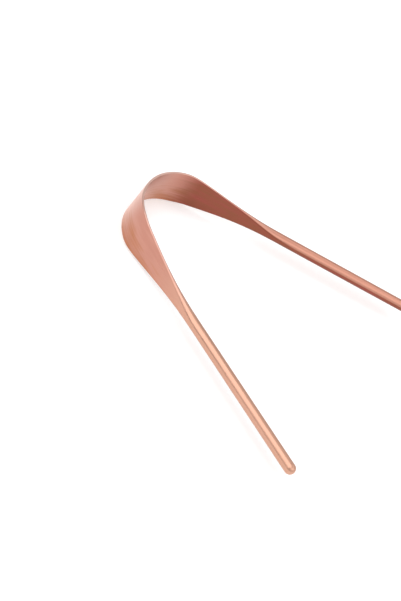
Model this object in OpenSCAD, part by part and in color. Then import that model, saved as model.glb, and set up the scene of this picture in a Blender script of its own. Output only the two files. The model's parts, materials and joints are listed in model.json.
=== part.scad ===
// Sprung tongue scraper, pressed and bent from one round copper rod.
//
// The middle of the rod is pressed flat into a thin band and bent into a bow. The band's two
// narrow edges do the scraping. On each side the band narrows and thickens back into the round
// rod, and the straight rod is the handle. The thin bow is also the spring: squeezing the
// handles bends it, and it opens again by itself.
//
// The bow lies in the XY plane with its crown at the origin and the handles towards +X.
// Z runs across the band, from its lower scraping edge at 0 to its upper one. The right hand's
// handle is on +Y and the left one is its mirror image. All lengths are in millimetres.
// A station is a distance along the middle of the rod, counted from the crown.

/* [Rod] */
// Diameter of the round rod
rod_d = 3.5; // [2.5:0.1:5]
// Length of each straight round handle, without its domed tip
handle_l = 50; // [30:1:120]

/* [Band] */
// Width of the flattened band, from one scraping edge to the other
band_w = 12.1; // [8:0.1:16]
// Thickness of the flattened band
band_t = 0.8; // [0.5:0.05:1.2]
// Radius that dresses the band's four long corners
edge_r = 0.35; // [0.05:0.05:0.35]
// Length of full-width band along the bow
band_l = 35; // [24:1:44]

/* [Bow] */
// Radius of the flatter crown
crown_r = 30; // [22:1:60]
// Length of the crown along the band
crown_l = 9.4; // [3:0.2:16]
// Radius of the two tighter corners of the bow
corner_r = 21; // [18:0.5:28]
// Radius of the slight bow that eases each corner into its handle
ease_r = 280; // [180:10:600]
// Length of that slight bow
ease_l = 21; // [8:1:30]
// Angle between each handle and the middle line of the scraper
handle_angle = 24.3; // [12:0.1:36]

/* [Shoulders] */
// Length of each shoulder, where the flat band turns into the round rod
shoulder_l = 38; // [28:0.5:60]
// How late the width narrows along the shoulder: 1 is even, less is sooner
width_bias = 0.75; // [0.5:0.05:1.5]
// How late the thickness grows along the shoulder: 1 is even, more is later
thick_bias = 2.5; // [1:0.1:4]

/* [Hidden] */

// Clear slit between the bow and each leg, at the middle of the stretch that springs
flex_gap = 0.15;
// Largest share of the band's thickness that one dressed corner may take
edge_limit_share = 0.45;
// Spacing of the sections along a shoulder, and the points on each quarter of a section
section_step = 0.95;
quarter_points = 10;
// Each quarter of a section turns through a right angle
right_angle = 90;
half_turn = 180;

copper_satin = "#cf8b76";
copper_bright = "#dc9a82";

rod_r = rod_d / 2;
edge_round = min(edge_r, band_t * edge_limit_share);
mid_z = band_w / 2;

// How far each part of the bow turns, in degrees, from the crown's middle to the handle
function arc_angle(length, radius) = length / radius * half_turn / PI;
crown_turn = arc_angle(crown_l / 2, crown_r);
ease_turn = arc_angle(ease_l, ease_r);
handle_turn = right_angle - handle_angle;
corner_turn = handle_turn - crown_turn - ease_turn;

// Stations where the crown, the corner and the easing end, and where the round rod starts
crown_end = crown_l / 2;
corner_end = crown_end + corner_turn / half_turn * PI * corner_r;
ease_end = corner_end + ease_l;
band_end = band_l / 2;
rod_start = max(band_end + shoulder_l, ease_end);

// Direction of the rod at station s: 0 runs along +Y, as at the crown
function turn_at(s) =
    arc_angle(min(s, crown_end), crown_r)
    + arc_angle(min(max(s - crown_end, 0), corner_end - crown_end), corner_r)
    + arc_angle(min(max(s - corner_end, 0), ease_l), ease_r);

// Step from one end of an arc to the other, for directions a and b at its ends
function arc_step(radius, a, b) = radius * [cos(a) - cos(b), sin(b) - sin(a)];

// Middle of the rod at station s
function point_at(s) =
    let (a = turn_at(min(s, crown_end)), b = turn_at(min(s, corner_end)), c = turn_at(s))
    arc_step(crown_r, 0, a) + arc_step(corner_r, a, b) + arc_step(ease_r, b, c)
    + max(s - ease_end, 0) * [sin(c), cos(c)];

// Outward direction across the rod at direction a
function outward(a) = [-cos(a), sin(a)];

// Share of the way from the band to the round rod at station s, and its smooth curve
function shoulder_share(s) = min(max((s - band_end) / shoulder_l, 0), 1);
function smooth(u) = u * u * (3 - 2 * u);
function between(a, b, u) = a + (b - a) * u;
function half_w(s) = between(band_w / 2, rod_r, smooth(pow(shoulder_share(s), width_bias)));
function half_t(s) = between(band_t / 2, rod_r, smooth(pow(shoulder_share(s), thick_bias)));
function corner_share(s) = between(edge_round / (band_t / 2), 1, smooth(shoulder_share(s)));

// Outline of the rod across its length: a rounded oblong that turns into a circle
function section_at(s) =
    let (t = half_t(s), w = half_w(s), c = t * corner_share(s))
    [for (q = [0:3], i = [0:quarter_points - 1])
        let (a = right_angle * (q + (i + 1 / 2) / quarter_points))
        [sign(cos(a)) * (t - c) + c * cos(a), sign(sin(a)) * (w - c) + c * sin(a)]];

// The same outline where it stands in space
function ring_at(s) =
    let (p = point_at(s), n = outward(turn_at(s)))
    [for (q = section_at(s)) [p.x + n.x * q.x, p.y + n.y * q.x, mid_z + q.y]];

// Solid that joins a list of rings, all with the same number of points
module loft(rings) {
    last = len(rings) - 1;
    count = len(rings[0]);
    sides = [for (r = [0:last - 1], i = [0:count - 1])
        let (a = r * count + i, b = r * count + (i + 1) % count)
        each [[a, b, b + count], [a, b + count, a + count]]];
    start_cap = [for (i = [count - 1:-1:0]) i];
    end_cap = [for (i = [0:count - 1]) last * count + i];
    polyhedron([for (r = rings) each r], concat(sides, [start_cap, end_cap]));
}

// The band's outline at a given distance from the axis that it is bent around
module band_outline(radius) {
    translate([radius - band_t / 2, 0]) {
        translate([edge_round, 0]) square([band_t - 2 * edge_round, band_w]);
        translate([0, edge_round]) square([band_t, band_w - 2 * edge_round]);
        for (x = [edge_round, band_t - edge_round], y = [edge_round, band_w - edge_round])
            translate([x, y]) circle(edge_round, $fn = 48);
    }
}

// Band bent to a radius, from the direction at station s onwards through an angle
module bent_band(s, radius, angle) {
    a = turn_at(s);
    centre = point_at(s) - radius * outward(a);
    translate([centre.x, centre.y, 0])
        rotate([0, 0, half_turn - a - angle])
            rotate_extrude(angle = angle, $fn = 240) band_outline(radius);
}

// Everything on the right hand's side is drawn once and mirrored for the left
module left_side() {
    mirror([0, 1, 0]) children();
}

// Flatter middle of the bow
module crown() {
    color(copper_satin) bent_band(-crown_end, crown_r, 2 * crown_turn);
}

// Full-width part of the bow's tighter corner, up to the stretch that springs
module corner() {
    side_l = band_end - flex_gap / 2 - crown_end;
    color(copper_satin) bent_band(crown_end, corner_r, arc_angle(side_l, corner_r));
}

// Where the flat band turns into the round rod, while the corner eases into the handle
module shoulder() {
    start = band_end + flex_gap / 2;
    steps = ceil((rod_start - start) / section_step);
    color(copper_satin)
        loft([for (i = [0:steps]) ring_at(between(start, rod_start, i / steps))]);
}

// Puts its children at station s of the right leg, with +Z along the rod
module on_rod(s) {
    p = point_at(s);
    translate([p.x, p.y, mid_z]) rotate([0, right_angle, right_angle - turn_at(s)]) children();
}

// Straight round rod that the hand holds
module handle() {
    color(copper_bright) on_rod(rod_start) cylinder(h = handle_l, r = rod_r, $fn = 64);
}

// Domed end of the rod
module tip() {
    color(copper_bright)
        on_rod(rod_start + handle_l)
            rotate_extrude($fn = 64) intersection() {
                circle(rod_r, $fn = 64);
                square(rod_r);
            }
}

module band_crown() { crown(); }
module left_band_corner() { left_side() corner(); }
module right_band_corner() { corner(); }
module left_shoulder() { left_side() shoulder(); }
module right_shoulder() { shoulder(); }
module left_handle() { left_side() handle(); }
module right_handle() { handle(); }
module left_tip() { left_side() tip(); }
module right_tip() { tip(); }

band_crown();
left_band_corner();
right_band_corner();
left_shoulder();
right_shoulder();
left_handle();
right_handle();
left_tip();
right_tip();
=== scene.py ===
# %% [markdown]
# A sprung tongue scraper, pressed and bent from one copper rod
#
# The real object is a single piece of copper. A maker starts from a round rod, presses its
# middle flat into a thin band, dresses the band's edges, and bends the band into a bow. The two
# round ends of the rod stay straight and become the handles.
#
# This file follows the same order. It draws a round blank, presses it, bends it, and then gives
# it the finish of brushed copper. The construction model has the same scraper as nine plain
# solids, so the first step is to load that model as a fixed frame.

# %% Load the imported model
import json
import math
from functools import partial

import bmesh
import bpy
from mathutils import Matrix, Vector


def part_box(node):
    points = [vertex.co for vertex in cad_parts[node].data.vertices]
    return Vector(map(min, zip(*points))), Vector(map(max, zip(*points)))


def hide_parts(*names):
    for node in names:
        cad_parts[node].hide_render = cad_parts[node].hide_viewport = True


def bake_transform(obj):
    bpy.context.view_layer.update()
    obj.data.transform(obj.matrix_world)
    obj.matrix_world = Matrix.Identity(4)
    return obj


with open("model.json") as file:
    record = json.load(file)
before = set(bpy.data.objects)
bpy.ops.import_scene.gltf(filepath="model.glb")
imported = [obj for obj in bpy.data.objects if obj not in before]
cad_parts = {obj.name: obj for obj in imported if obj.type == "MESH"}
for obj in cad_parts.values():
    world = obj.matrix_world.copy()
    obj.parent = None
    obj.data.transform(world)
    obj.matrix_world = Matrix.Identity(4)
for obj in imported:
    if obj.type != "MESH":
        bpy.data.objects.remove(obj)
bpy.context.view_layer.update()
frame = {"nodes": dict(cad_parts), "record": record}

MM = 0.001
mounts = {mount["name"]: mount for mount in frame["record"]["mounts"]}

# %% [markdown]
# Sizes that the frame gives
#
# Blender works in metres here, as the frame does. What can be measured on the frame is measured,
# so the rod, the width of the band and the line of the handles always agree with the solids.
# A station is a distance along the middle of the rod, counted from the crown of the bow.

# %% Measure the rod, the band and the handles
rod_r = mounts["right_grip"]["dims"]["r_mm"] * MM
handle_l = mounts["right_grip"]["dims"]["length_mm"] * MM
handle_middle = Vector(mounts["right_grip"]["pos_m"])
handle_heading = Vector(mounts["right_grip"]["axis"])
rod_start_place = handle_middle - handle_heading * handle_l / 2

band_low, band_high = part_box("band_crown")
band_w = band_high.z - band_low.z
mid_z = (band_high.z + band_low.z) / 2
print("rod", round(2 * rod_r / MM, 2), "mm, band", round(band_w / MM, 2), "mm wide")

# %% [markdown]
# Sizes of the press and of the bending jig
#
# The rest are the maker's own settings: how thin the press leaves the band, how its corners are
# dressed, and the three radii that the bow is bent to on each side. The crown is nearly flat, the
# corners are tight, and a very slight bow eases each corner into its straight handle.

# %% Name the maker's settings
band_t = 0.8 * MM
edge_round = 0.35 * MM
band_end = 17.5 * MM
shoulder_l = 38 * MM
width_bias = 0.75
thick_bias = 2.5

crown_r = 30 * MM
crown_end = 4.7 * MM
corner_r = 21 * MM
ease_r = 280 * MM
ease_l = 21 * MM

handle_turn = math.atan2(handle_heading.x, handle_heading.y)
corner_turn = handle_turn - crown_end / crown_r - ease_l / ease_r
corner_end = crown_end + corner_turn * corner_r
ease_end = corner_end + ease_l
rod_start = max(band_end + shoulder_l, ease_end)
print("the bow turns", round(math.degrees(handle_turn), 1), "degrees on each side")

# %% [markdown]
# The line that the rod follows
#
# The line starts at the crown along +Y and turns towards +X. On an arc, the direction changes
# evenly with the distance, so the direction at a station is a sum of three simple terms. Going
# along one arc moves the point by the radius times a difference of sines and cosines.


# %% Find the direction and the place at a station
def turn_at(station):
    """How far the rod has turned from +Y at a station, in radians."""
    along_corner = min(max(station - crown_end, 0), corner_end - crown_end)
    along_ease = min(max(station - corner_end, 0), ease_l)
    return min(station, crown_end) / crown_r + along_corner / corner_r + along_ease / ease_r


def arc_step(radius, before, after):
    """The step from one end of an arc to the other, for the directions at its ends."""
    return radius * Vector((math.cos(before) - math.cos(after), math.sin(after) - math.sin(before)))


def point_at(station):
    """The middle of the rod at a station, on the right hand's side."""
    crown_exit = turn_at(min(station, crown_end))
    corner_exit = turn_at(min(station, corner_end))
    heading = turn_at(station)
    bent = arc_step(crown_r, 0, crown_exit)
    bent += arc_step(corner_r, crown_exit, corner_exit)
    bent += arc_step(ease_r, corner_exit, heading)
    return bent + max(station - ease_end, 0) * Vector((math.sin(heading), math.cos(heading)))


miss = (point_at(rod_start) - rod_start_place.xy).length
print("the line reaches the handle with an error of", round(miss / MM, 4), "mm")

# %% [markdown]
# What the press does
#
# A cut across the rod is a circle, and a cut across the band is a thin oblong with four small
# dressed corners. Both are the same outline with other numbers: four quarter arcs, pushed apart
# by flats. In the shoulder, the width, the thickness and the roundness each go from one to the
# other along a smooth curve of their own, which is what makes the shoulder look drawn out and
# not cut. Since the copper is only moved, the thin band is wider than the rod it came from.


# %% Work out the outline that the press leaves
def smooth(share):
    """Eases a share in and out, so that no bend has a corner."""
    return share * share * (3 - 2 * share)


def between(start, end, share):
    """A value part of the way from start to end."""
    return start + (end - start) * share


def shoulder_share(station):
    """0 on the flat band, 1 on the round rod."""
    return min(max((station - band_end) / shoulder_l, 0), 1)


def pressed(station, angle):
    """Where the press moves the blank's surface at an angle: outwards across the wall, and up."""
    share = shoulder_share(station)
    half_w = between(band_w / 2, rod_r, smooth(share**width_bias))
    half_t = between(band_t / 2, rod_r, smooth(share**thick_bias))
    corner = half_t * between(edge_round / (band_t / 2), 1, smooth(share))
    out = math.copysign(half_t - corner, math.cos(angle)) + corner * math.cos(angle)
    up = math.copysign(half_w - corner, math.sin(angle)) + corner * math.sin(angle)
    return out, up


rod_area = math.pi * rod_r**2
band_area = band_w * band_t - (4 - math.pi) * edge_round**2
print("rod", round(rod_area / MM**2, 1), "and band", round(band_area / MM**2, 1), "square mm")
for station in (0, band_end, ease_end, rod_start):
    thick = 2 * pressed(station, 0)[0] / MM
    wide = 2 * pressed(station, math.pi / 2)[1] / MM
    print("at", round(station / MM, 1), "mm:", round(thick, 2), "by", round(wide, 2), "mm")

# %% [markdown]
# The round blank
#
# The blank lies along X. A circle is drawn across it, extruded once to the full length, and cut
# into short rings with one subdivision of its long edges. The rings have to be short, because
# each one turns a little when the bow is bent, and a metal surface shows every flat facet as a
# stripe. The circle starts half a step round, so that no point lies where a flat will be.

# %% Draw the blank with bmesh operators
RING_POINTS = 64
RING_SPACING = 0.15 * MM


def round_blank():
    """A round bar from station 0 to the start of the handle, open at both ends."""
    blank = bmesh.new()
    half_step = Matrix.Rotation(math.pi / RING_POINTS, 4, "Z")
    across = Matrix.Rotation(math.pi / 2, 4, "Y")
    bmesh.ops.create_circle(blank, segments=RING_POINTS, radius=rod_r, matrix=across @ half_step)
    grown = bmesh.ops.extrude_edge_only(blank, edges=blank.edges[:])
    far_ring = [part for part in grown["geom"] if isinstance(part, bmesh.types.BMVert)]
    bmesh.ops.translate(blank, verts=far_ring, vec=(rod_start, 0, 0))
    long_edges = [edge for edge in blank.edges if edge.calc_length() > rod_start / 2]
    cuts = math.ceil(rod_start / RING_SPACING) - 1
    bmesh.ops.subdivide_edges(blank, edges=long_edges, cuts=cuts)
    return blank


print("a blank is", round(rod_start / MM, 1), "mm long, with rings", RING_SPACING / MM, "mm apart")

# %% [markdown]
# Press, keep a record, and bend
#
# Every point of the blank is first moved to where the press leaves it. While the bar is still
# straight, two things are stored on the points. The first is the place on the straight bar: the
# distance along it, outwards and up. The brushed grain is later drawn on that, so it follows
# the metal round the bow, as a grain does that was there before the bending. The second is the
# way that the surface looked on the round blank, outwards and up, which tells the outside of the
# bow from its inside when the finish is mixed. Only then is the bar bent.


# %% Press and bend one side of the scraper
def press_and_bend(blank, side):
    """Shapes a blank into one half of the bow with its shoulder: side 1 is right, -1 left."""
    bar = blank.verts.layers.float_vector.new("bar")
    around = blank.verts.layers.float_vector.new("around")
    for vert in blank.verts:
        station = vert.co.x
        angle = math.atan2(vert.co.z, vert.co.y)
        out, up = pressed(station, angle)
        vert[bar] = (side * station, out, up)
        vert[around] = (0, math.cos(angle), math.sin(angle))
        middle = point_at(station)
        heading = turn_at(station)
        outward = Vector((-math.cos(heading), math.sin(heading)))
        bent = middle + outward * out
        vert.co = (bent.x, side * bent.y, mid_z + up)


def close_ends(blank):
    """Puts a flat face on both open ends, with a crisp edge round it."""
    rims = [edge for edge in blank.edges if edge.is_boundary]
    bmesh.ops.holes_fill(blank, edges=rims, sides=RING_POINTS)
    for face in blank.faces:
        face.smooth = len(face.verts) < RING_POINTS
    for rim in rims:
        rim.smooth = False
    bmesh.ops.recalc_face_normals(blank, faces=blank.faces[:])


# %% [markdown]
# Two sprung halves
#
# The band is the spring of the scraper, so it has to bend when a handle is squeezed. One mesh can
# bend between two bodies, and there are two handles, so the unbroken band is made as two halves
# that meet at the crown, which hardly bends. Each half stands for three solids of the frame and
# runs from the crown to the place where the round handle starts.
#
# Long flats beside tiny corner arcs would shade wrongly if every face had the same say in the
# normals, so a Weighted Normal modifier lets the large flats decide.


# %% Make the halves
def sprung_half(side_name, side):
    """One half of the bow with its shoulder, in place of three solids of the frame."""
    blank = round_blank()
    press_and_bend(blank, side)
    close_ends(blank)
    mesh = bpy.data.meshes.new(side_name + "_sprung_half")
    blank.to_mesh(mesh)
    blank.free()
    half = bpy.data.objects.new(mesh.name, mesh)
    bpy.context.scene.collection.objects.link(half)
    even = half.modifiers.new("flats decide the shading", "WEIGHTED_NORMAL")
    even.keep_sharp = True
    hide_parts("band_crown", side_name + "_band_corner", side_name + "_shoulder")
    return half


FLEX_START = 2 * MM
FLEX_END = 38 * MM

halves = {}
for side_name, side in (("left", -1), ("right", 1)):
    half = sprung_half(side_name, side)
    ends = [point_at(station) for station in (FLEX_START, FLEX_END)]
    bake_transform(half)
    halves[side_name] = half
    print(half.name, "has", len(half.data.polygons), "faces")

# %% [markdown]
# Brushed copper
#
# Copper is a metal, so it has no colour of its own under the light: it tints what it mirrors.
# The Principled shader does that with Metallic at 1, and the default IOR is kept because the
# base colour already says how a metal reflects. The finish is fine satin: the maker draws the
# rod through abrasive, which leaves a grain of fine scratches along the bar. The scratches
# spread the highlights, which is a roughness near a third, and they break up the light in thin
# streaks, which is a small bump. Handling and air add faint patches, redder or more golden.
#
# Two small helpers come first: one turns a written sRGB colour to linear light, and one adds
# a node with its settings and links.


# %% Helpers for materials
def linear(hex_colour):
    """Turns an sRGB colour into the linear values that a shader reads.

    The colour is written like #c69080, and the numbers here are those of the sRGB standard.
    """
    channels = [int(hex_colour[i : i + 2], 16) / 255 for i in (1, 3, 5)]
    shares = [c / 12.92 if c <= 0.04045 else ((c + 0.055) / 1.055) ** 2.4 for c in channels]
    return (*shares, 1)


def add_node(tree, kind, settings=None, inputs=None):
    """Adds a node. An input that is given a socket is linked to it, and any other is set."""
    node = tree.nodes.new(kind)
    for name, value in (settings or {}).items():
        setattr(node, name, value)
    for name, value in (inputs or {}).items():
        if isinstance(value, bpy.types.NodeSocket):
            tree.links.new(value, node.inputs[name])
        else:
            node.inputs[name].default_value = value
    return node


def new_material(name):
    """An empty node material and its output."""
    material = bpy.data.materials.new(name)
    material.use_nodes = True
    material.node_tree.nodes.clear()
    return material, add_node(material.node_tree, "ShaderNodeOutputMaterial")


print("#c69080 is", [round(channel, 3) for channel in linear("#c69080")[:3]], "in linear light")

# %% [markdown]
# Where the grain runs
#
# On the sprung halves, the two stored values are read as attributes. The handles are straight
# already, so a Mapping node only turns and shifts their own coordinates until they are the same
# ones, and the way round the rod is the place across it, divided by the rod's radius. That way
# the grain and the patches run on across the place where a half meets its handle, as they do
# on one piece of copper.


# %% Find the bar's coordinates on a half and on a handle
def bar_on_half(tree):
    """The place on the straight bar, and the way that its surface looks."""
    bar = add_node(tree, "ShaderNodeAttribute", {"attribute_name": "bar"})
    around = add_node(tree, "ShaderNodeAttribute", {"attribute_name": "around"})
    return bar.outputs["Vector"], around.outputs["Vector"]


def bar_on_handle(tree, side):
    """The same two values, from a handle's own coordinates."""
    along_bar = math.pi / 2 - handle_turn
    turn = -along_bar if side > 0 else along_bar + math.pi
    start = Vector((rod_start_place.x, side * rod_start_place.y, mid_z))
    shift = Vector((side * rod_start, 0, 0)) - Matrix.Rotation(turn, 3, "Z") @ start
    own = add_node(tree, "ShaderNodeTexCoord")
    bar = add_node(
        tree,
        "ShaderNodeMapping",
        inputs={"Vector": own.outputs["Object"], "Rotation": (0, 0, turn), "Location": shift},
    )
    around = add_node(
        tree,
        "ShaderNodeVectorMath",
        {"operation": "SCALE"},
        {0: bar.outputs["Vector"], "Scale": 1 / rod_r},
    )
    return bar.outputs["Vector"], around.outputs["Vector"]


# %% [markdown]
# Grain and mottling
#
# Both come from noise that is stretched along the bar. Real brushing leaves scratches a few
# hundredths of a millimetre wide, which no picture of the whole scraper can show, so the grain
# is drawn more than ten times as wide. Broad patches are the smears that fingers and damp leave.
# Some grain is mixed into them, because a stain creeps along the scratches and gets a streaky
# border. The mottling is redder at one end of the noise and more golden at the other. Towards the
# lower scraping edge it leans to the darker gold, which is painted shade: the band there mirrors
# the shaded floor by its foot. The patches' start only picks which part of the endless noise falls
# on the scraper.

# %% Draw the grain and the mottling
GRAIN_SIZE = (14 * MM, 0.6 * MM)
PATCH_SIZE = (12 * MM, 5 * MM)
PATCH_START = 24
GRAIN_IN_PATCHES = 0.4
NOISE_DETAIL = 2
# Painted shade: the mottling turns a darker gold towards the lower edge.
LOWER_EDGE_PAINTED_SHADE = 0.29
MOTTLE_RED = 0.3
MOTTLE_MIDDLE = 0.5
MOTTLE_GOLD = 0.72
COPPER_RED = linear("#c08878")
COPPER = linear("#c69080")
COPPER_GOLD = linear("#bb7e5f")


def stretched_noise(tree, bar, size, start=0):
    """Noise for streaks or patches of this length and width."""
    length, width = size
    scale = (1 / length, 1 / width, 1 / width)
    mapping = add_node(
        tree,
        "ShaderNodeMapping",
        inputs={"Vector": bar, "Scale": scale, "Location": (0, 0, start)},
    )
    pattern = {"Vector": mapping.outputs["Vector"], "Scale": 1, "Detail": NOISE_DETAIL}
    return add_node(tree, "ShaderNodeTexNoise", inputs=pattern).outputs["Fac"]


def mottled_copper(tree, bar, mottle):
    """The mottled colour of the metal, with painted shade towards the lower edge."""
    place = add_node(tree, "ShaderNodeSeparateXYZ", inputs={"Vector": bar})
    lean = add_node(
        tree,
        "ShaderNodeMath",
        {"operation": "MULTIPLY_ADD"},
        {0: place.outputs["Z"], 1: -LOWER_EDGE_PAINTED_SHADE / (band_w / 2), 2: mottle},
    )
    ramp = add_node(tree, "ShaderNodeValToRGB", inputs={"Fac": lean.outputs[0]})
    stops = ramp.color_ramp.elements
    stops[0].position, stops[0].color = MOTTLE_RED, COPPER_RED
    stops[1].position, stops[1].color = MOTTLE_GOLD, COPPER_GOLD
    stops.new(MOTTLE_MIDDLE).color = COPPER
    return ramp.outputs["Color"]


print("streaks are", GRAIN_SIZE[1] / MM, "mm wide and patches", PATCH_SIZE[1] / MM, "mm")

# %% [markdown]
# Painted light on the left handle, painted shade on the right
#
# From the shoulders on, the mottling fades into one colour for each side. The two colours are
# painted light and shade: the left handle's is lighter and more golden, as the light falls on it,
# and the right handle's is darker and more orange. A place along the bar counts below zero on the
# left, which tells the sides apart.

# %% Work out where the side light and shade are painted
# Painted light and shade: the left handle's colour is lighter, the right handle's darker.
LEFT_ROD_PAINTED_LIGHT = linear("#d0a28b")
RIGHT_ROD_PAINTED_SHADE = linear("#cc917c")
SIDE_PAINT_START = 30 * MM
SIDE_PAINT_FULL = 56 * MM
SIDE_PAINT_SHARE = 0.8


def painted_side_light(tree, bar, station):
    """How much of the mottling the painted side colour covers, and that colour on this side."""
    share = add_node(
        tree,
        "ShaderNodeMapRange",
        {"interpolation_type": "SMOOTHSTEP"},
        {"Value": station, "From Min": SIDE_PAINT_START, "From Max": SIDE_PAINT_FULL, "To Max": SIDE_PAINT_SHARE},
    )
    place = add_node(tree, "ShaderNodeSeparateXYZ", inputs={"Vector": bar})
    right = add_node(
        tree,
        "ShaderNodeMapRange",
        inputs={"Value": place.outputs["X"], "From Min": -SIDE_PAINT_START, "From Max": SIDE_PAINT_START},
    )
    color = add_node(
        tree,
        "ShaderNodeMix",
        {"data_type": "RGBA"},
        {"Factor": right.outputs["Result"], 6: LEFT_ROD_PAINTED_LIGHT, 7: RIGHT_ROD_PAINTED_SHADE},
    )
    return share.outputs["Result"], color.outputs[2]


# The side colours that begin here are painted light and shade.
print("the held copper begins", SIDE_PAINT_START / MM, "mm from the crown")

# %% [markdown]
# Brown oxide and painted shade inside the bow
#
# Copper darkens in air to a thin red-brown oxide, and the brown here is partly that and partly
# painted shade. The inner faces mirror the floor in the shade between the legs, and the lower
# inner side of each rod mirrors the floor in its own shadow, so both are painted brown. The brown
# covers the inner side of each leg, which on the flat band is the whole inner face. As the band
# turns into rod, the line where the brown stops drops further and further down over its top, and
# on the round rod only the part that looks inwards and down stays brown.
#
# Three shares are multiplied: how far along the leg the brown has begun, how much the surface
# looks inwards, and whether it lies below the line where the brown stops. How the surface looks
# is 1 for straight outwards or up, and -1 for straight inwards or down.

# %% Work out where the oxide and painted shade lie
# The brown is partly oxide and partly painted shade.
OXIDE_AND_SHADE_RED = linear("#955045")
OXIDE_AND_SHADE_BROWN = linear("#8b5440")
OXIDE_AND_SHADE_START = 16 * MM
OXIDE_AND_SHADE_FULL = 28 * MM
OXIDE_AND_SHADE_RAGGED = 7 * MM
BROWN_TOP_START = 27 * MM
BROWN_TOP_END = 62 * MM
BROWN_TOP_ON_BAND = 1.2
BROWN_TOP_ON_ROD = 0.2
BROWN_TOP_SOFTNESS = 0.14
INWARD_ON_BAND = (-0.8, -0.98)
INWARD_ON_ROD = (-0.2, -0.5)


def oxide_and_shade_share(tree, station, around, mottle):
    """1 where the oxide and painted shade are whole, 0 where the copper is bare."""
    ragged = add_node(
        tree,
        "ShaderNodeMath",
        {"operation": "MULTIPLY_ADD"},
        {0: mottle, 1: OXIDE_AND_SHADE_RAGGED, 2: station},
    )
    begun = add_node(
        tree,
        "ShaderNodeMapRange",
        {"interpolation_type": "SMOOTHSTEP"},
        {"Value": ragged.outputs[0], "From Min": OXIDE_AND_SHADE_START, "From Max": OXIDE_AND_SHADE_FULL},
    )
    looks = add_node(tree, "ShaderNodeSeparateXYZ", inputs={"Vector": around})
    limits = [
        add_node(
            tree,
            "ShaderNodeMapRange",
            inputs={
                "Value": station,
                "From Min": band_end,
                "From Max": rod_start,
                "To Min": on_band,
                "To Max": on_rod,
            },
        )
        for on_band, on_rod in zip(INWARD_ON_BAND, INWARD_ON_ROD)
    ]
    inward = add_node(
        tree,
        "ShaderNodeMapRange",
        inputs={
            "Value": looks.outputs["Y"],
            "From Min": limits[0].outputs["Result"],
            "From Max": limits[1].outputs["Result"],
        },
    )
    brown_top = add_node(
        tree,
        "ShaderNodeMapRange",
        inputs={
            "Value": station,
            "From Min": BROWN_TOP_START,
            "From Max": BROWN_TOP_END,
            "To Min": BROWN_TOP_ON_BAND,
            "To Max": BROWN_TOP_ON_ROD,
        },
    )
    under = add_node(
        tree,
        "ShaderNodeMath",
        {"operation": "SUBTRACT"},
        {0: brown_top.outputs["Result"], 1: looks.outputs["Z"]},
    )
    below = add_node(
        tree,
        "ShaderNodeMapRange",
        {"interpolation_type": "SMOOTHSTEP"},
        {"Value": under.outputs[0], "From Min": -BROWN_TOP_SOFTNESS, "From Max": BROWN_TOP_SOFTNESS},
    )
    share = begun.outputs["Result"]
    for other in (inward.outputs["Result"], below.outputs["Result"]):
        share = add_node(
            tree, "ShaderNodeMath", {"operation": "MULTIPLY"}, {0: share, 1: other}
        ).outputs[0]
    return share


# The brown that begins here is partly oxide and partly painted shade.
print("the oxide begins", OXIDE_AND_SHADE_START / MM, "to", OXIDE_AND_SHADE_FULL / MM, "mm from the crown")

# %% [markdown]
# Painted light at the crown and painted highlights on the edges
#
# The crown and the two edges are the parts that work. Their copper is painted lighter and pinker
# than the rest: at the crown this is painted light, strongest on its outside, and along the edges
# it is a painted highlight that brightens the strip of each rounded edge. The edges are found from
# the way the surface looks: up or down, and not outwards or inwards. Each pair of limits below
# says where the painted light begins and where it is whole.

# %% Work out where the light is painted
# Painted light: a lighter, pinker copper for the crown and a painted highlight on the edges.
PAINTED_LIGHT_COPPER = linear("#e8c0b2")
CROWN_PAINTED_LIGHT = (20 * MM, 5 * MM)
CROWN_LIGHT_RAGGED = 6 * MM
CROWN_LIGHT_INSIDE_SHARE = 0.42
EDGE_PAINTED_HIGHLIGHT = (0.3, 0.9)
EDGE_HIGHLIGHT_SHARE = 0.7


def painted_light_share(tree, station, around, mottle):
    """1 outside the crown, less inside it and on the edges, and 0 elsewhere."""
    ragged = add_node(
        tree,
        "ShaderNodeMath",
        {"operation": "MULTIPLY_ADD"},
        {0: mottle, 1: CROWN_LIGHT_RAGGED, 2: station},
    )
    looks = add_node(tree, "ShaderNodeSeparateXYZ", inputs={"Vector": around})
    steep = add_node(tree, "ShaderNodeMath", {"operation": "ABSOLUTE"}, {0: looks.outputs["Z"]})
    outside = add_node(
        tree,
        "ShaderNodeMapRange",
        inputs={"Value": looks.outputs["Y"], "From Min": -1, "To Min": CROWN_LIGHT_INSIDE_SHARE},
    )
    on_band = add_node(
        tree,
        "ShaderNodeMapRange",
        inputs={
            "Value": station,
            "From Min": rod_start,
            "From Max": band_end,
            "To Max": EDGE_HIGHLIGHT_SHARE,
        },
    )
    share = 0
    for value, (empty, full), most in (
        (ragged.outputs[0], CROWN_PAINTED_LIGHT, outside.outputs["Result"]),
        (steep.outputs[0], EDGE_PAINTED_HIGHLIGHT, on_band.outputs["Result"]),
    ):
        part = add_node(
            tree,
            "ShaderNodeMapRange",
            {"interpolation_type": "SMOOTHSTEP"},
            {"Value": value, "From Min": empty, "From Max": full, "To Max": most},
        )
        total = add_node(
            tree,
            "ShaderNodeMath",
            {"operation": "ADD", "use_clamp": True},
            {0: part.outputs["Result"], 1: share},
        )
        share = total.outputs[0]
    return share


# The lighter crown is painted light.
print("the crown is rubbed for", CROWN_PAINTED_LIGHT[0] / MM, "mm on each side")

# %% [markdown]
# Satin copper from all of these
#
# The mottling gives the colour, with its painted shade at the lower edge. On the handles a colour
# for each side covers it, painted lighter on the left and darker on the right. The painted light
# of the crown and edges lightens it, and the brown of oxide and painted shade lies over all three.
# The brown has a mottling of its own, redder and browner. The grain sets the roughness and a
# slight bump. A roughness between 0.22 and 0.44 is what fine abrasive leaves: the metal mirrors
# light and dark, but no shape in it is sharp, and every highlight is drawn out along the bar in
# fine streaks.

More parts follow.
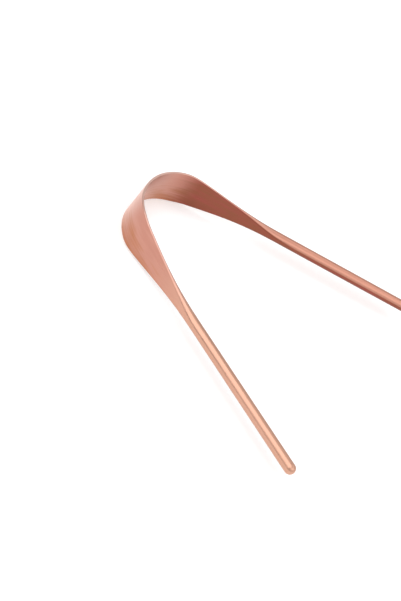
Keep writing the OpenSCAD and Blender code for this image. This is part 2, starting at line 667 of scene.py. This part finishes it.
# %% Mix the finish
OXIDE_AND_SHADE_CONTRAST = (0.4, 0.6)
GRAIN_ROUGHNESS = (0.22, 0.44)
GRAIN_BUMP = 0.45
GRAIN_DEPTH = 0.03 * MM


def satin_copper(name, find_bar):
    """Brushed satin copper, which looks warm and softly streaked, and never like a mirror."""
    material, output = new_material(name)
    tree = material.node_tree
    bar, around = find_bar(tree)
    grain = stretched_noise(tree, bar, GRAIN_SIZE)
    patches = stretched_noise(tree, bar, PATCH_SIZE, PATCH_START)
    mixed = add_node(
        tree, "ShaderNodeMix", inputs={"Factor": GRAIN_IN_PATCHES, "A": patches, "B": grain}
    )
    mottle = mixed.outputs["Result"]
    place = add_node(tree, "ShaderNodeSeparateXYZ", inputs={"Vector": bar})
    along = add_node(tree, "ShaderNodeMath", {"operation": "ABSOLUTE"}, {0: place.outputs["X"]})
    station = along.outputs[0]
    least, most = OXIDE_AND_SHADE_CONTRAST
    contrast = add_node(
        tree, "ShaderNodeMapRange", inputs={"Value": mottle, "From Min": least, "From Max": most}
    )
    oxide_and_shade = add_node(
        tree,
        "ShaderNodeMix",
        {"data_type": "RGBA"},
        {"Factor": contrast.outputs["Result"], 6: OXIDE_AND_SHADE_RED, 7: OXIDE_AND_SHADE_BROWN},
    )
    color = mottled_copper(tree, bar, mottle)
    # Painted light and shade go over the mottling: the side colours, the lighter crown and edges,
    # and the brown.
    for share, finish in (
        painted_side_light(tree, bar, station),
        (painted_light_share(tree, station, around, mottle), PAINTED_LIGHT_COPPER),
        (oxide_and_shade_share(tree, station, around, mottle), oxide_and_shade.outputs[2]),
    ):
        mix = add_node(
            tree, "ShaderNodeMix", {"data_type": "RGBA"}, {"Factor": share, 6: color, 7: finish}
        )
        color = mix.outputs[2]
    least, most = GRAIN_ROUGHNESS
    roughness = add_node(
        tree, "ShaderNodeMapRange", inputs={"Value": grain, "To Min": least, "To Max": most}
    )
    bump = add_node(
        tree,
        "ShaderNodeBump",
        inputs={"Height": grain, "Strength": GRAIN_BUMP, "Distance": GRAIN_DEPTH},
    )
    shader = add_node(
        tree,
        "ShaderNodeBsdfPrincipled",
        inputs={
            "Base Color": color,
            "Metallic": 1,
            "Roughness": roughness.outputs["Result"],
            "Normal": bump.outputs["Normal"],
        },
    )
    tree.links.new(shader.outputs["BSDF"], output.inputs["Surface"])
    return material


# %% [markdown]
# One finish on every piece
#
# The whole scraper is one piece of copper, so every stretch of it gets this finish. It takes
# three materials only because the halves and the two handles find their place on the bar in
# different ways. The handles and tips are the frame's own solids, whose shape is right already,
# so they keep their meshes and only change what is in their material slots.

# %% Give the halves, handles and tips their copper
band_copper = satin_copper("brushed satin copper, bent band", bar_on_half)
for half in halves.values():
    half.data.materials.append(band_copper)

for side_name, side in (("left", -1), ("right", 1)):
    rod_name = "brushed satin copper, " + side_name + " rod"
    rod_copper = satin_copper(rod_name, partial(bar_on_handle, side=side))
    for part in ("_handle", "_tip"):
        frame["nodes"][side_name + part].material_slots[0].material = rod_copper
print("each copper is made of", len(band_copper.node_tree.nodes), "nodes")

# %% [markdown]
# A pale floor
#
# The scraper lies on its lower scraping edge, so the floor is at height zero. It is one large
# sheet of matt white paper, which mirrors nothing and keeps a soft shadow. Lamps that made it
# pure white by themselves would be too strong for the copper. So the paper also glows faintly,
# but only for rays that come from the camera, or that something mirrors or lets through. The
# glow lights nothing by itself, and the copper mirrors the same white that the eye sees.

# %% Lay the floor
FLOOR_SIZE = 6.0
PAPER = linear("#f4f4f4")
PAPER_GLOW = 0.18
WHITE = linear("#ffffff")

floor_mesh = bpy.data.meshes.new("floor")
floor_plane = bmesh.new()
bmesh.ops.create_grid(floor_plane, x_segments=1, y_segments=1, size=FLOOR_SIZE / 2)
floor_plane.to_mesh(floor_mesh)
floor_plane.free()
floor = bpy.data.objects.new("floor", floor_mesh)
bpy.context.scene.collection.objects.link(floor)

paper, paper_output = new_material("matt white paper")
paper_tree = paper.node_tree
diffuse = add_node(paper_tree, "ShaderNodeBsdfDiffuse", inputs={"Color": PAPER})
rays = add_node(paper_tree, "ShaderNodeLightPath")
seen = rays.outputs["Is Camera Ray"]
for other in ("Is Glossy Ray", "Is Transmission Ray"):
    seen = add_node(
        paper_tree, "ShaderNodeMath", {"operation": "MAXIMUM"}, {0: seen, 1: rays.outputs[other]}
    ).outputs[0]
amount = add_node(
    paper_tree, "ShaderNodeMath", {"operation": "MULTIPLY"}, {0: seen, 1: PAPER_GLOW}
)
glow = add_node(
    paper_tree, "ShaderNodeEmission", inputs={"Color": WHITE, "Strength": amount.outputs[0]}
)
both = add_node(
    paper_tree, "ShaderNodeAddShader", inputs={0: diffuse.outputs[0], 1: glow.outputs[0]}
)
paper_tree.links.new(both.outputs[0], paper_output.inputs["Surface"])
floor.data.materials.append(paper)

# %% [markdown]
# The room around it
#
# A metal shows little of its own and much of what stands around it, so the light is laid out by
# what it looks like in the copper. The room is a plain pale grey, brighter on the handles' and
# the right hand's side than on the other. That slow change is what gives each rod its darker rim
# and the band its slight shading, with no shape in the reflections.

# %% Light the room
ROOM_BRIGHT_SIDE = (0.85, 0.53, 0)
ROOM_DIM = 0.44
ROOM_BRIGHT = 0.82

world = bpy.data.worlds.new("studio")
bpy.context.scene.world = world
world.use_nodes = True
room = world.node_tree
direction = add_node(room, "ShaderNodeTexCoord")
towards = add_node(
    room,
    "ShaderNodeVectorMath",
    {"operation": "DOT_PRODUCT"},
    {0: direction.outputs["Generated"], 1: ROOM_BRIGHT_SIDE},
)
level = add_node(
    room,
    "ShaderNodeMapRange",
    inputs={
        "Value": towards.outputs["Value"],
        "From Min": -1,
        "To Min": ROOM_DIM,
        "To Max": ROOM_BRIGHT,
    },
)
backdrop = room.nodes["Background"]
backdrop.inputs["Color"].default_value = WHITE
room.links.new(level.outputs["Result"], backdrop.inputs["Strength"])
print("the room's light goes from", ROOM_DIM, "to", ROOM_BRIGHT)

# %% [markdown]
# Three soft boxes
#
# A soft box is a lamp behind a white cloth. The key hangs high beside the crown, and its picture
# in the near rod is the broad highlight that runs down the handle. The other two stand beyond
# the handles' ends. The fill shows in the side of the far rod and the narrow back light along its
# top, and together they give that rod an even sheen. The key and the fill are about as large as
# they are far away, so they leave no hard shadow, and the back light is too weak for one. Their
# strength is given as the brightness of the cloth, where 1 is white paper, and the lamp's power
# follows from the cloth's size.

# %% Hang the soft boxes
WORK = Vector((50 * MM, 0, 0))
LAMP_DISTANCE = 0.8


def soft_box(name, direction, width, length, brightness):
    """A rectangular area light that faces the work from a direction."""
    light = bpy.data.lights.new(name, "AREA")
    light.shape = "RECTANGLE"
    light.size = width
    light.size_y = length
    light.energy = brightness * math.pi * width * length
    lamp = bpy.data.objects.new(name, light)
    towards = Vector(direction).normalized()
    lamp.location = WORK + towards * LAMP_DISTANCE
    lamp.rotation_euler = towards.to_track_quat("Z", "Y").to_euler()
    bpy.context.scene.collection.objects.link(lamp)
    print("the", name, "has a power of", round(light.energy, 2), "W")


soft_box("key", (-0.53, -0.32, 0.79), width=1.0, length=1.1, brightness=1.4)
soft_box("fill", (0.64, -0.4, 0.66), width=1.2, length=0.6, brightness=0.84)
soft_box("back", (0.34, 0.33, 0.88), width=0.7, length=0.2, brightness=1.0)

# %% [markdown]
# The camera
#
# The photograph was taken from the left hand's side and about a third of the way up to overhead,
# with a long lens, because the far leg looks hardly thinner than the near one. The lens, the
# distance and the angles were found together, by matching the outline to the photographed one.
# The picture is rolled too, so the crown points up and to the left. The camera starts at the
# point that it looks at, is turned and rolled there, and is then drawn back along its own axis.

# %% Place the camera
LENS = 100.474
AIM = Vector((35.33 * MM, -22.14 * MM, mid_z))
DISTANCE = 490.016 * MM
AZIMUTH = math.radians(-1.1485)
ELEVATION = math.radians(34.346)
ROLL = math.radians(41.232)
CLIP_START = 10 * MM

camera = bpy.data.objects.new("camera", bpy.data.cameras.new("camera"))
camera.data.lens = LENS
camera.data.clip_start = CLIP_START
turned = Matrix.Rotation(-AZIMUTH, 4, "Z") @ Matrix.Rotation(math.pi / 2 - ELEVATION, 4, "X")
turned = turned @ Matrix.Rotation(ROLL, 4, "Z")
camera.matrix_world = Matrix.Translation(AIM) @ turned @ Matrix.Translation((0, 0, DISTANCE))
bpy.context.scene.collection.objects.link(camera)
bpy.context.scene.camera = camera
print("the camera stands at", [round(place / MM) for place in camera.matrix_world.to_translation()])

# %% [markdown]
# Colours as written
#
# The Standard view shows a colour as it was written, with no film look over it.

# %% Set the view
bpy.context.scene.view_settings.view_transform = "Standard"
